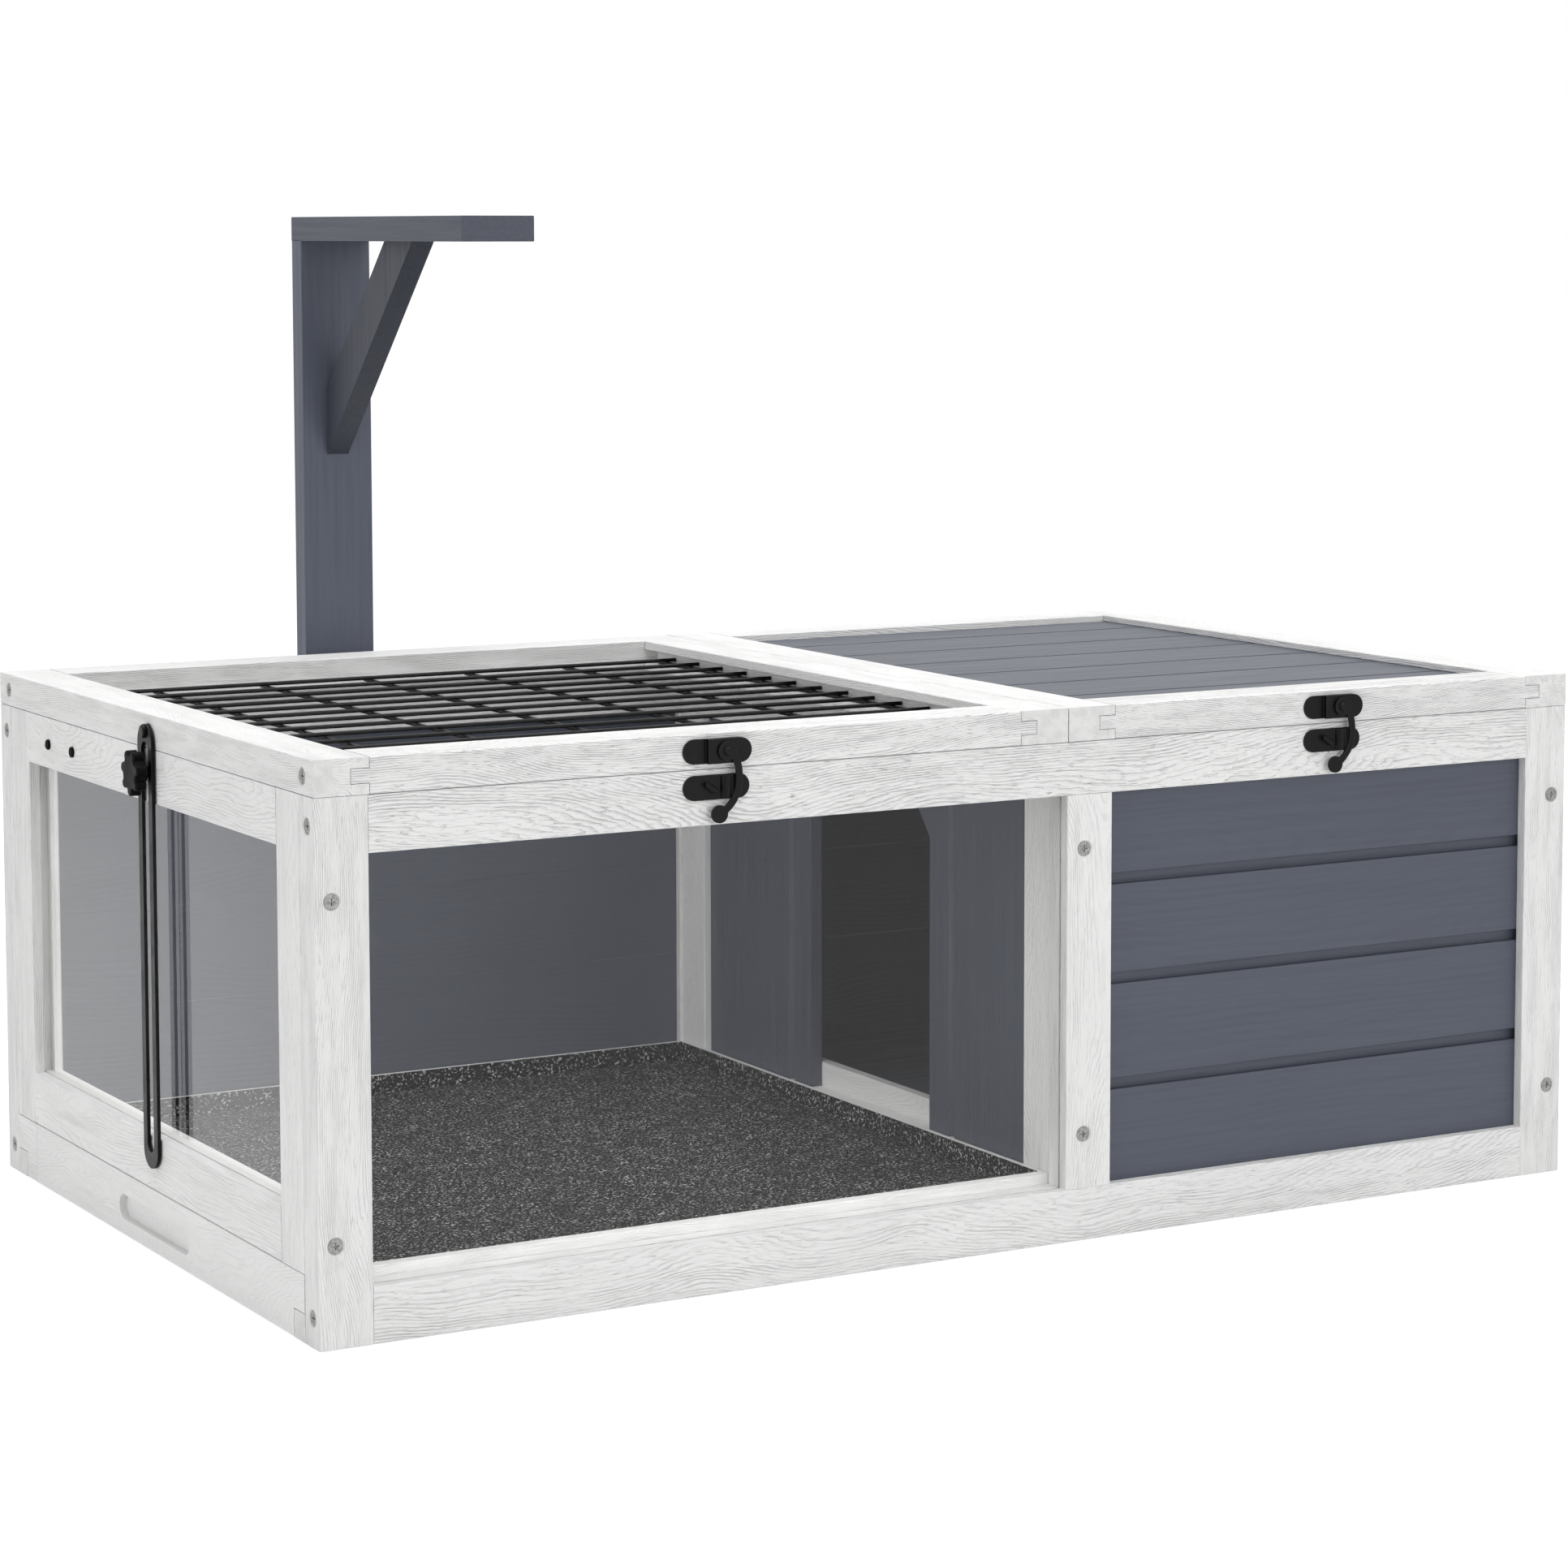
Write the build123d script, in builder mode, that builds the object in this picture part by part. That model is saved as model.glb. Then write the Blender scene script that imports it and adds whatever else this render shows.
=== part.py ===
from build123d import *
import os

# Tortoise house with an open room under a wire lid and a closed room under a board lid.
# Millimetres. X runs along the front, Y from front to back, Z up from the ground.

# Overall house
house_length = 1000.0
house_width = 600.0
box_height = 351.0
left_bay_length = 522.0

# Frame stock: every stile, rail, post and lid rail is planed to this section
stock_thickness = 23.6
stock_width = 37.0
outer_lip = 8.0
groove_width = 9.6
groove_depth = 8.0
edge_round = 0.8

# Clearances shared by the joints
joint_fit = 0.2
seat_gap = 0.3
running_gap = 0.6
pin_fit = 0.06
overrun = 1.0
seam_line = 0.4

# Boards and panes housed in the frame grooves
board_thickness = 9.0
board_bite = 6.0
pane_thickness = 3.0
seam_width = 8.6
seam_shares = (0.25, 0.52, 0.775)
lap_length = 5.0
tongue_thickness = 4.2

# Side window frame, which stands above the tray
side_stile_width = 38.0
window_rail_width = 37.4

# Partition with the doorway
partition_set_back = 2.8
sill_top = 60.0
ledge_top = 41.0
door_width = 176.0
door_head = 51.0
door_corner_width = 34.0
door_corner_height = 41.0
door_shift = 13.0
door_board_width = 238.0
vee_chamfer = 4.0

# Closed room floor
floor_top = 42.0
floor_thickness = 9.0
batten_width = 18.0
batten_height = 18.5

# Pull-out tray
tray_rim = 44.0
tray_board_thickness = 10.0
tray_far_board_thickness = 4.0
tray_end_thickness = 3.8
tray_bottom_thickness = 6.0
liner_thickness = 1.5
liner_floor_thickness = 4.9
end_block_length = 39.0
pull_length = 135.0
pull_height = 18.0
pull_depth = 5.5
pull_middle_height = 20.0
pull_shift = 6.5

# Lids
lid_seam_gap = 0.3
lid_split_gap = 0.8
lid_split_shift = 0.6
lid_rail_width = 38.0
lid_front_width = 41.0
bridle_depth = 12.8
bridle_thickness = 10.0
mesh_lip = 6.6
mesh_groove_height = 10.6
mesh_groove_depth = 11.3
lid_board_lip = 4.8
lid_end_board_width = 59.75
lid_board_count = 7
lid_board_chamfer = 2.2

# Wire mesh
wire_radius = 1.5
weld_depth = 0.3
long_wire_end_gap = 0.6
long_wire_margin = 26.5
long_wire_count = 13
cross_wire_count = 6
cross_wire_nub = 14.0
long_wire_nub = 6.6
long_wire_first_reach = 73.0
mesh_shift = 5.5

# Hinges behind the lids
hinge_length = 50.0
hinge_leaf_height = 19.0
hinge_leaf_thickness = 1.5
knuckle_radius = 3.2
hinge_pin_radius = 1.6
hinge_standoff = 3.5
hinge_place_share = 0.36

# Countersunk screws
screw_head_radius = 5.2
screw_head_height = 3.4
screw_shank_radius = 2.1
screw_length = 50.0
screw_sink = 0.8
recess_length = 4.6
recess_width = 0.8
recess_depth = 0.9
side_screw_inset = 66.0
centre_screw_inset = 75.0
rail_screw_height = 18.8
lid_screw_inset = 18.5

# Latches on the lid fronts
latch_shift = 4.0
latch_length = 49.2
latch_height = 16.5
latch_plate_thickness = 1.2
latch_pad_rise = 4.6
latch_pad_start = 17.0
latch_pivot_place = 30.3
keeper_drop = 24.0
hook_thickness = 1.6
hook_eye_radius = 6.5
hook_arm_width = 4.6
hook_bends = ((7.0, -7.0), (8.8, -17.0), (7.4, -27.0), (2.6, -35.2))
hook_tab_radius = 6.0
hook_tab_back = 5.9
hook_tab_drop = 41.4
rivet_radius = 2.2
rivet_head_radius = 3.2
rivet_head_height = 1.5
rivet_head_taper = 30.0
loop_start = 27.0
loop_radius = 5.0
loop_height = 15.4
staple_place = 19.5
staple_length = 11.0
staple_width = 4.4
staple_rise = 5.2
staple_round = 2.0
staple_turn = -35.0

# Slotted lid stays with star knobs
stay_shift = 13.0
stay_width = 26.5
stay_foot = 60.6
stay_thickness = 2.5
stay_top_margin = 5.2
stay_slot_width = 12.6
stay_slot_top = 6.8
stay_slot_bottom = 11.4
stay_gap = 1.0
stud_radius = 4.0
stud_drop = 15.6
stud_sink = 16.0
stay_pivot_radius = 2.6
stay_pivot_head_radius = 4.6
stay_pivot_head_height = 2.2
stay_pivot_collar_radius = 5.4
stay_pivot_sink = 25.0
knob_radius = 16.0
knob_lobe_radius = 3.6
knob_lobe_count = 7
knob_core_radius = 12.0
knob_valley_round = 1.2
knob_edge_round = 1.4
knob_body_length = 7.6
knob_neck_length = 3.6
knob_neck_radius = 7.0
knob_bore_depth = 7.5

# Rubber plugs in the side rail
plug_radius = 3.75
plug_stem_radius = 2.5
plug_stem_length = 10.0
plug_dome_height = 2.0
plug_drop = 19.3
plug_middle_inset = 132.6
plug_pitch = 50.8

# Lamp holder on the back
lamp_place = 284.3
lamp_width = 57.5
lamp_board_thickness = 18.6
lamp_cleat_depth = 24.6
lamp_post_top = 694.6
lamp_post_foot = 6.0
lamp_arm_length = 315.0
brace_thickness = 18.0
brace_outer = 166.0
brace_inner = 115.0
lamp_screw_pitch = 30.0

# Places that follow from the sizes above
hook_low = latch_pad_rise + seat_gap
hook_high = hook_low + hook_thickness
rivet_head_low = hook_high + seat_gap
reach_front = rivet_head_low + rivet_head_height
reach_back = lamp_cleat_depth + lamp_board_thickness
left_x = -house_length / 2
right_x = house_length / 2
front_y = (reach_front - reach_back - house_width) / 2
back_y = front_y + house_width
inner_front_y = front_y + stock_thickness
inner_back_y = back_y - stock_thickness
inner_width = inner_back_y - inner_front_y
half_stock = stock_thickness / 2
centre_stile_x = left_x + stock_width + left_bay_length
partition_x = centre_stile_x + partition_set_back
partition_right_x = partition_x + stock_thickness
top_rail_low = box_height - stock_width
door_top = box_height - door_head
window_low = tray_rim + running_gap
lid_bottom = box_height + lid_seam_gap
lid_middle = lid_bottom + half_stock
lid_split_x = centre_stile_x + lid_split_shift
left_lid_high = lid_split_x - lid_split_gap / 2
right_lid_low = lid_split_x + lid_split_gap / 2
hinge_y = back_y + hinge_standoff
stay_y = front_y + house_width / 2 - stay_shift
tenon_length = groove_depth - joint_fit
pane_groove_width = pane_thickness + 2 * pin_fit
countersink_radius = screw_head_radius + joint_fit + screw_sink

# Each face plane looks out of the house: its x runs along the panel and its y is up
front_face = Plane(origin=(left_x, front_y, 0), x_dir=(1, 0, 0), z_dir=(0, -1, 0))
back_face = Plane(origin=(right_x, back_y, 0), x_dir=(-1, 0, 0), z_dir=(0, 1, 0))
left_face = Plane(origin=(left_x, inner_back_y, 0), x_dir=(0, -1, 0), z_dir=(-1, 0, 0))
right_face = Plane(origin=(right_x, inner_front_y, 0), x_dir=(0, 1, 0), z_dir=(1, 0, 0))
partition_face = Plane(origin=(partition_right_x, inner_front_y, 0), x_dir=(0, 1, 0), z_dir=(1, 0, 0))


def span(low_x, high_x, low_y, high_y, mode=Mode.ADD):
    """A rectangle in the open sketch, given by its edges."""
    with Locations(((low_x + high_x) / 2, (low_y + high_y) / 2)):
        Rectangle(high_x - low_x, high_y - low_y, mode=mode)


def seats(places, outward):
    """Screw seats: a plane at each place, looking out of the wood."""
    return [Plane(origin=place, z_dir=outward) for place in places]


def drill(screw_seats):
    """Countersunk holes for screws in the open part."""
    if screw_seats:
        with Locations(*screw_seats):
            CounterSinkHole(screw_shank_radius + joint_fit, countersink_radius, screw_length + overrun)


def group(*pieces):
    """Several pieces kept as separate solids of one node."""
    with BuildPart() as together:
        for piece in pieces:
            add(piece.part)
    return together


def mirrored(piece):
    """The same piece on the other side of the house."""
    with BuildPart() as copy:
        mirror(piece.part, about=Plane.YZ)
    return copy


def section_plane(face, place):
    """A plane across a panel: its x runs into the wood, its y is up."""
    origin = face.from_local_coords(Vector(place, 0, 0))
    return Plane(origin=origin, x_dir=-face.z_dir, z_dir=face.x_dir)


def frame_member(
    face, left, right, low, high, grooves, tenons=(), screw_seats=(), bores=(),
    pane_grooves=(), boards_from=None,
):
    """Frame stock with grooves for boards and narrow ones for panes, end tenons and holes."""
    tenon_left = left - tenon_length * ("left" in tenons)
    tenon_right = right + tenon_length * ("right" in tenons)
    tenon_low = low - tenon_length * ("low" in tenons)
    tenon_high = high + tenon_length * ("high" in tenons)
    far_left = tenon_left - overrun
    far_right = tenon_right + overrun
    far_low = tenon_low - overrun
    far_high = tenon_high + overrun
    boards_start = far_left if boards_from is None else boards_from
    cuts = ((grooves, groove_width, boards_start), (pane_grooves, pane_groove_width, far_left))
    with BuildPart() as member:
        with BuildSketch(face):
            span(left, right, low, high)
        extrude(amount=-stock_thickness)
        fillet(member.edges().group_by(SortBy.LENGTH)[-1], edge_round)
        if tenons:
            with BuildSketch(face.offset(-outer_lip - joint_fit)):
                span(tenon_left, tenon_right, tenon_low, tenon_high)
            extrude(amount=-(groove_width - 2 * joint_fit))
        for sides, width, start in cuts:
            if sides:
                with BuildSketch(face.offset(-outer_lip)):
                    if "left" in sides:
                        span(left - overrun, left + groove_depth, far_low, far_high)
                    if "right" in sides:
                        span(right - groove_depth, right + overrun, far_low, far_high)
                    if "low" in sides:
                        span(start, far_right, low - overrun, low + groove_depth)
                    if "high" in sides:
                        span(start, far_right, high - groove_depth, high + overrun)
                extrude(amount=-width, mode=Mode.SUBTRACT)
        drill(screw_seats)
        for bore_seats, radius, depth in bores:
            with Locations(*bore_seats):
                Hole(radius, depth)
    return member


def shiplap(face, left, right, low, high):
    """Level boards housed in the frame grooves, each one lapped by the board above it."""
    seams = [low + share * (high - low) for share in seam_shares]
    bottoms = [low - board_bite] + [seam + seam_width / 2 for seam in seams]
    tops = [seam - seam_width / 2 for seam in seams] + [high + board_bite]
    board_front = outer_lip + seat_gap
    board_back = board_front + board_thickness
    tongue_front = board_back - tongue_thickness
    with BuildPart() as boards:
        for bottom, top in zip(bottoms, tops):
            with BuildSketch(section_plane(face, left - board_bite)):
                span(board_front, board_back, bottom, top)
                if top < high:
                    span(tongue_front, board_back, top, top + seam_width + lap_length)
                if bottom > low:
                    rebate_top = bottom + lap_length + joint_fit
                    span(tongue_front - joint_fit, board_back, bottom, rebate_top, Mode.SUBTRACT)
            extrude(amount=right - left + 2 * board_bite)
    return boards


def pane(face, left, right, low, high):
    """A clear sheet against the outer lip of the grooves."""
    with BuildPart() as sheet:
        with BuildSketch(face.offset(-outer_lip - pin_fit)):
            span(left - board_bite, right + board_bite, low - board_bite, high + board_bite)
        extrude(amount=-pane_thickness)
    return sheet


def block(low_corner, high_corner, screw_seats=()):
    """A planed board given by its lowest and highest corners."""
    low_x, low_y, low_z = low_corner
    high_x, high_y, high_z = high_corner
    with BuildPart() as board:
        with BuildSketch(Plane.XY.offset(low_z)):
            span(low_x, high_x, low_y, high_y)
        extrude(amount=high_z - low_z)
        fillet(board.edges().group_by(SortBy.LENGTH)[-1], edge_round)
        drill(screw_seats)
    return board


# Screw seats on the outside of the box
corner_low_x = left_x + half_stock
corner_high_x = right_x - half_stock
partition_middle_x = partition_x + half_stock
rail_screw_heights = (rail_screw_height, box_height - rail_screw_height)
side_screw_heights = (side_screw_inset, box_height - side_screw_inset)
centre_screw_heights = (centre_screw_inset, box_height - centre_screw_inset)
front_left_seats = seats([(corner_low_x, front_y, z) for z in side_screw_heights], (0, -1, 0))
front_centre_seats = seats([(partition_middle_x, front_y, z) for z in centre_screw_heights], (0, -1, 0))
front_right_seats = seats([(corner_high_x, front_y, z) for z in side_screw_heights], (0, -1, 0))
back_left_seats = seats([(corner_low_x, back_y, z) for z in side_screw_heights], (0, 1, 0))
back_centre_seats = seats([(partition_middle_x, back_y, z) for z in centre_screw_heights], (0, 1, 0))
back_right_seats = seats([(corner_high_x, back_y, z) for z in side_screw_heights], (0, 1, 0))
left_front_seats = seats([(left_x, front_y + half_stock, z) for z in rail_screw_heights], (-1, 0, 0))
left_back_seats = seats([(left_x, back_y - half_stock, z) for z in rail_screw_heights], (-1, 0, 0))
right_front_seats = seats([(right_x, front_y + half_stock, z) for z in rail_screw_heights], (1, 0, 0))
right_back_seats = seats([(right_x, back_y - half_stock, z) for z in rail_screw_heights], (1, 0, 0))

# Screw seats on the lamp holder, from behind through the cleats and down through the arm
lamp_x = left_x + lamp_place
lamp_front_y = back_y + lamp_cleat_depth
lamp_back_y = lamp_front_y + lamp_board_thickness
lamp_screw_x = (lamp_x - lamp_screw_pitch / 2, lamp_x + lamp_screw_pitch / 2)
lamp_back_seats = seats(
    [(x, lamp_back_y, z) for x in lamp_screw_x for z in rail_screw_heights], (0, 1, 0)
)
lamp_arm_top = lamp_post_top + lamp_board_thickness
lamp_arm_seats = seats(
    [(x, lamp_back_y - lamp_board_thickness / 2, lamp_arm_top) for x in lamp_screw_x], (0, 0, 1)
)

# Stud and plug seats in the side rails
stud_height = box_height - stud_drop
plug_height = box_height - plug_drop
left_stud_seat = Plane(origin=(left_x, stay_y, stud_height), z_dir=(-1, 0, 0))
right_stud_seat = Plane(origin=(right_x, stay_y, stud_height), z_dir=(1, 0, 0))
plug_middle_y = back_y - plug_middle_inset
plug_places = [(left_x, plug_middle_y + side * plug_pitch / 2, plug_height) for side in (-1, 1)]
plug_seats = seats(plug_places, (-1, 0, 0))

# Front panel
bay_left = stock_width
bay_right = house_length - stock_width
stile_left = bay_left + left_bay_length
stile_right = stile_left + stock_width
front_stiles = group(
    frame_member(
        front_face, 0, bay_left, 0, box_height,
        ("right",), (), front_left_seats + left_front_seats,
    ),
    frame_member(
        front_face, bay_right, house_length, 0, box_height,
        ("left",), (), front_right_seats + right_front_seats,
    ),
)
front_stile_centre = frame_member(
    front_face, stile_left, stile_right, stock_width, top_rail_low,
    ("right",), ("low", "high"), front_centre_seats, (), ("left",),
)
front_end_seats = left_front_seats + right_front_seats
front_boards_from = stile_left - joint_fit
front_rail_top = frame_member(
    front_face, bay_left, bay_right, top_rail_low, box_height,
    ("low",), ("left", "right"), front_end_seats, (), ("low",), front_boards_from,
)
front_rail_bottom = frame_member(
    front_face, bay_left, bay_right, 0, stock_width,
    ("high",), ("left", "right"), front_end_seats, (), ("high",), front_boards_from,
)
front_pane = pane(front_face, bay_left, stile_left, stock_width, top_rail_low)
front_boards = shiplap(front_face, stile_right, bay_right, stock_width, top_rail_low)

# Back panel, seen from behind with the closed room on the left
back_stile_left = house_length - stile_right
back_stile_right = house_length - stile_left
back_stiles = group(
    frame_member(back_face, 0, bay_left, 0, box_height, ("right",), (), back_right_seats + right_back_seats),
    frame_member(
        back_face, bay_right, house_length, 0, box_height, ("left",), (), back_left_seats + left_back_seats
    ),
    frame_member(
        back_face, back_stile_left, back_stile_right, stock_width, top_rail_low,
        ("left", "right"), ("low", "high"), back_centre_seats,
    ),
)
back_end_seats = left_back_seats + right_back_seats + lamp_back_seats
back_rails = group(
    frame_member(
        back_face, bay_left, bay_right, top_rail_low, box_height, ("low",), ("left", "right"), back_end_seats
    ),
    frame_member(
        back_face, bay_left, bay_right, 0, stock_width, ("high",), ("left", "right"), back_end_seats
    ),
)
back_boards = group(
    shiplap(back_face, bay_left, back_stile_left, stock_width, top_rail_low),
    shiplap(back_face, back_stile_right, bay_right, stock_width, top_rail_low),
)

# Left side window, above the tray
window_rail_top = window_low + window_rail_width
window_left = side_stile_width
window_right = inner_width - side_stile_width
left_stiles = group(
    frame_member(left_face, 0, window_left, window_low, box_height, ("right",), (), back_left_seats),
    frame_member(
        left_face, window_right, inner_width, window_low, box_height, ("left",), (), front_left_seats
    ),
)
left_rail_bores = (
    ([left_stud_seat], stud_radius + joint_fit, stud_sink + overrun),
    (plug_seats, plug_stem_radius + joint_fit, plug_stem_length + overrun),
)
left_rail_top = frame_member(
    left_face, window_left, window_right, top_rail_low, box_height,
    (), ("left", "right"), (), left_rail_bores, ("low",),
)
left_rail_bottom = frame_member(
    left_face, window_left, window_right, window_low, window_rail_top,
    (), ("left", "right"), (), (), ("high",),
)
left_pane = pane(left_face, window_left, window_right, window_rail_top, top_rail_low)

# Right side panel
right_stiles = group(
    frame_member(right_face, 0, window_left, 0, box_height, ("right",), (), front_right_seats),
    frame_member(right_face, window_right, inner_width, 0, box_height, ("left",), (), back_right_seats),
)
right_rail_bores = (([right_stud_seat], stud_radius + joint_fit, stud_sink + overrun),)
right_rails = group(
    frame_member(
        right_face, window_left, window_right, top_rail_low, box_height,
        ("low",), ("left", "right"), (), right_rail_bores,
    ),
    frame_member(right_face, window_left, window_right, 0, stock_width, ("high",), ("left", "right")),
)
right_boards = shiplap(right_face, window_left, window_right, stock_width, top_rail_low)

# Partition frame
post_left = stock_width
post_right = inner_width - stock_width
partition_posts = group(
    frame_member(partition_face, 0, post_left, 0, box_height, ("right",), (), front_centre_seats),
    frame_member(partition_face, post_right, inner_width, 0, box_height, ("left",), (), back_centre_seats),
)
partition_rail_top = frame_member(
    partition_face, post_left, post_right, top_rail_low, box_height, ("low",), ("left", "right")
)


def make_sill():
    """The bottom rail of the partition: a ledge for the boards with a raised lip behind them."""
    tenon_front = outer_lip + joint_fit
    with BuildPart() as sill:
        with BuildSketch(section_plane(partition_face, post_left)):
            span(0, stock_thickness, sill_top - stock_width, ledge_top)
            span(0, outer_lip, ledge_top, sill_top)
        extrude(amount=post_right - post_left)
        with BuildSketch(section_plane(partition_face, post_left - tenon_length)):
            span(tenon_front, outer_lip + groove_width - joint_fit, sill_top - stock_width, ledge_top)
        extrude(amount=post_right - post_left + 2 * tenon_length)
    return sill


def make_partition_boards():
    """Three upright boards with open vee seams; the middle one has the doorway."""
    door_middle = inner_width / 2 - door_shift
    left_seam = door_middle - door_board_width / 2
    right_seam = door_middle + door_board_width / 2
    low = ledge_top + seat_gap
    high = top_rail_low + board_bite
    door_left = door_middle - door_width / 2
    door_right = door_middle + door_width / 2
    with BuildPart() as boards:
        with BuildSketch(partition_face.offset(-outer_lip - seat_gap)):
            span(post_left - board_bite, left_seam - joint_fit, low, high)
            span(left_seam + joint_fit, right_seam - joint_fit, low, high)
            span(right_seam + joint_fit, post_right + board_bite, low, high)
        extrude(amount=-board_thickness)
        uprights = boards.edges().filter_by(Axis.Z)
        seam_places = [inner_front_y + place for place in (left_seam, right_seam)]
        near_seams = [
            edge for edge in uprights
            if min(abs(edge.center().Y - place) for place in seam_places) < overrun
        ]
        chamfer(near_seams, vee_chamfer)
        with BuildSketch(partition_face):
            with BuildLine():
                Polyline(
                    (door_left, low - overrun),
                    (door_left, door_top - door_corner_height),
                    (door_left + door_corner_width, door_top),
                    (door_right - door_corner_width, door_top),
                    (door_right, door_top - door_corner_height),
                    (door_right, low - overrun),
                    close=True,
                )
            make_face()
        extrude(amount=-stock_thickness, mode=Mode.SUBTRACT)
    return boards


partition_sill = make_sill()
partition_boards = make_partition_boards()

# Closed room floor and the battens under it and under the tray
floor_low = floor_top - floor_thickness
chamber_floor = block(
    (partition_right_x + seat_gap, inner_front_y + seat_gap, floor_low),
    (right_x - stock_thickness - seat_gap, inner_back_y - seat_gap, floor_top),
)
floor_battens = group(
    block((left_x, inner_front_y, 0), (partition_x, inner_front_y + batten_width, batten_height)),
    block((left_x, inner_back_y - batten_width, 0), (partition_x, inner_back_y, batten_height)),
    block(
        (partition_right_x, inner_front_y, floor_low - batten_height),
        (right_x - stock_thickness, inner_front_y + batten_width, floor_low),
    ),
    block(
        (partition_right_x, inner_back_y - batten_width, floor_low - batten_height),
        (right_x - stock_thickness, inner_back_y, floor_low),
    ),
)

# Pull-out tray
tray_front_y = inner_front_y + running_gap
tray_back_y = inner_back_y - running_gap
tray_low = batten_height + running_gap
tray_inner_x = left_x + stock_thickness
tray_high_x = partition_x - running_gap
tray_end_x = tray_high_x - tray_end_thickness
tray_side_y = tray_front_y + tray_board_thickness
tray_far_side_y = tray_back_y - tray_far_board_thickness
end_block_y = tray_back_y - end_block_length
runner_front_y = inner_front_y + batten_width + running_gap
runner_back_y = inner_back_y - batten_width - running_gap


def make_fascia():
    """The tray front with its finger pull, notched round the end of the front runner."""
    pull_y = front_y + house_width / 2 - pull_shift
    with BuildPart() as fascia:
        with BuildSketch(Plane.XY.offset(tray_low)):
            span(left_x, tray_inner_x, tray_front_y, end_block_y - seam_line)
        extrude(amount=tray_rim - tray_low)
        with BuildSketch(Plane.XY.offset(running_gap)):
            span(left_x, tray_inner_x, runner_front_y, end_block_y - seam_line)
        extrude(amount=tray_low - running_gap)
        fillet(fascia.edges().group_by(SortBy.LENGTH)[-1], edge_round)
        pull_plane = Plane(origin=(left_x, pull_y, pull_middle_height), x_dir=(0, -1, 0), z_dir=(-1, 0, 0))
        with BuildSketch(pull_plane):
            SlotOverall(pull_length, pull_height)
        extrude(amount=-pull_depth, mode=Mode.SUBTRACT)
    return fascia


def make_end_block():
    """The short end of the tray front, notched round the back runner."""
    with BuildPart() as end_block:
        with BuildSketch(Plane.XY.offset(tray_low)):
            span(left_x, tray_inner_x, end_block_y, tray_back_y)
        extrude(amount=tray_rim - tray_low)
        with BuildSketch(Plane.XY.offset(running_gap)):
            span(left_x, tray_inner_x, end_block_y, runner_back_y)
        extrude(amount=tray_low - running_gap)
    return end_block


def make_liner():
    """The speckled liner: a floor with a wall all round, up to the tray rim."""
    low = tray_low + tray_bottom_thickness
    length = tray_end_x - tray_inner_x
    width = tray_far_side_y - tray_side_y
    middle = ((tray_inner_x + tray_end_x) / 2, (tray_side_y + tray_far_side_y) / 2)
    with BuildPart() as liner:
        with BuildSketch(Plane.XY.offset(low)):
            with Locations(middle):
                Rectangle(length - joint_fit, width - joint_fit)
        extrude(amount=tray_rim - low)
        with BuildSketch(Plane.XY.offset(low + liner_floor_thickness)):
            with Locations(middle):
                Rectangle(length - 2 * liner_thickness, width - 2 * liner_thickness)
        extrude(amount=tray_rim - low, mode=Mode.SUBTRACT)
    return liner


tray_fascia = make_fascia()
tray_end_block = make_end_block()
tray_side_boards = group(
    block((tray_inner_x, tray_front_y, tray_low), (tray_end_x, tray_side_y, tray_rim)),
    block((tray_inner_x, tray_far_side_y, tray_low), (tray_end_x, tray_back_y, tray_rim)),
)
tray_end_board = block((tray_end_x, tray_front_y, tray_low), (tray_high_x, tray_back_y, tray_rim))
tray_bottom = block(
    (tray_inner_x, tray_side_y, tray_low),
    (tray_end_x, tray_far_side_y, tray_low + tray_bottom_thickness),
)
tray_liner = make_liner()


# Lids
lid_opening_low_y = front_y + lid_front_width
lid_opening_high_y = back_y - lid_rail_width


def lid_side_rails(low_x, high_x, groove, screw_seats, pivot_seat):
    """The two full-length rails of a lid, slotted at their ends for the cross rails."""
    inner_low = low_x + lid_rail_width
    inner_high = high_x - lid_rail_width
    groove_low, groove_height, depth = groove
    slots = ((front_y - overrun, lid_opening_low_y), (lid_opening_high_y, back_y + overrun))
    with BuildPart() as rails:
        with BuildSketch(Plane.XY.offset(lid_bottom)):
            span(low_x, inner_low, front_y, back_y)
            span(inner_high, high_x, front_y, back_y)
        extrude(amount=stock_thickness)
        fillet(rails.edges().group_by(SortBy.LENGTH)[-1], edge_round)
        with BuildSketch(Plane.XY.offset(lid_middle - bridle_thickness / 2)):
            for start, end in slots:
                span(inner_low - bridle_depth, inner_low + overrun, start, end)
                span(inner_high - overrun, inner_high + bridle_depth, start, end)
        extrude(amount=bridle_thickness, mode=Mode.SUBTRACT)
        with BuildSketch(Plane.XY.offset(groove_low)):
            span(inner_low - depth, inner_low + overrun, lid_opening_low_y, lid_opening_high_y)
            span(inner_high - overrun, inner_high + depth, lid_opening_low_y, lid_opening_high_y)
        extrude(amount=groove_height, mode=Mode.SUBTRACT)
        drill(screw_seats)
        with Locations(pivot_seat):
            Hole(stay_pivot_radius + joint_fit, stay_pivot_sink + overrun)
    return rails


def lid_cross_rail(low_x, high_x, low_y, high_y, screw_seats):
    """A front or back rail of a lid with a tongue at each end."""
    inner_low = low_x + lid_rail_width
    inner_high = high_x - lid_rail_width
    tongue = bridle_depth - seam_line
    with BuildPart() as rail:
        with BuildSketch(Plane.XY.offset(lid_bottom)):
            span(inner_low + seam_line, inner_high - seam_line, low_y, high_y)
        extrude(amount=stock_thickness)
        fillet(rail.edges().group_by(SortBy.LENGTH)[-1], edge_round)
        with BuildSketch(Plane.XY.offset(lid_middle - bridle_thickness / 2 + seam_line)):
            span(inner_low - tongue, inner_low + seam_line, low_y, high_y)
            span(inner_high - seam_line, inner_high + tongue, low_y, high_y)
        extrude(amount=bridle_thickness - 2 * seam_line)
        drill(screw_seats)
    return rail


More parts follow.
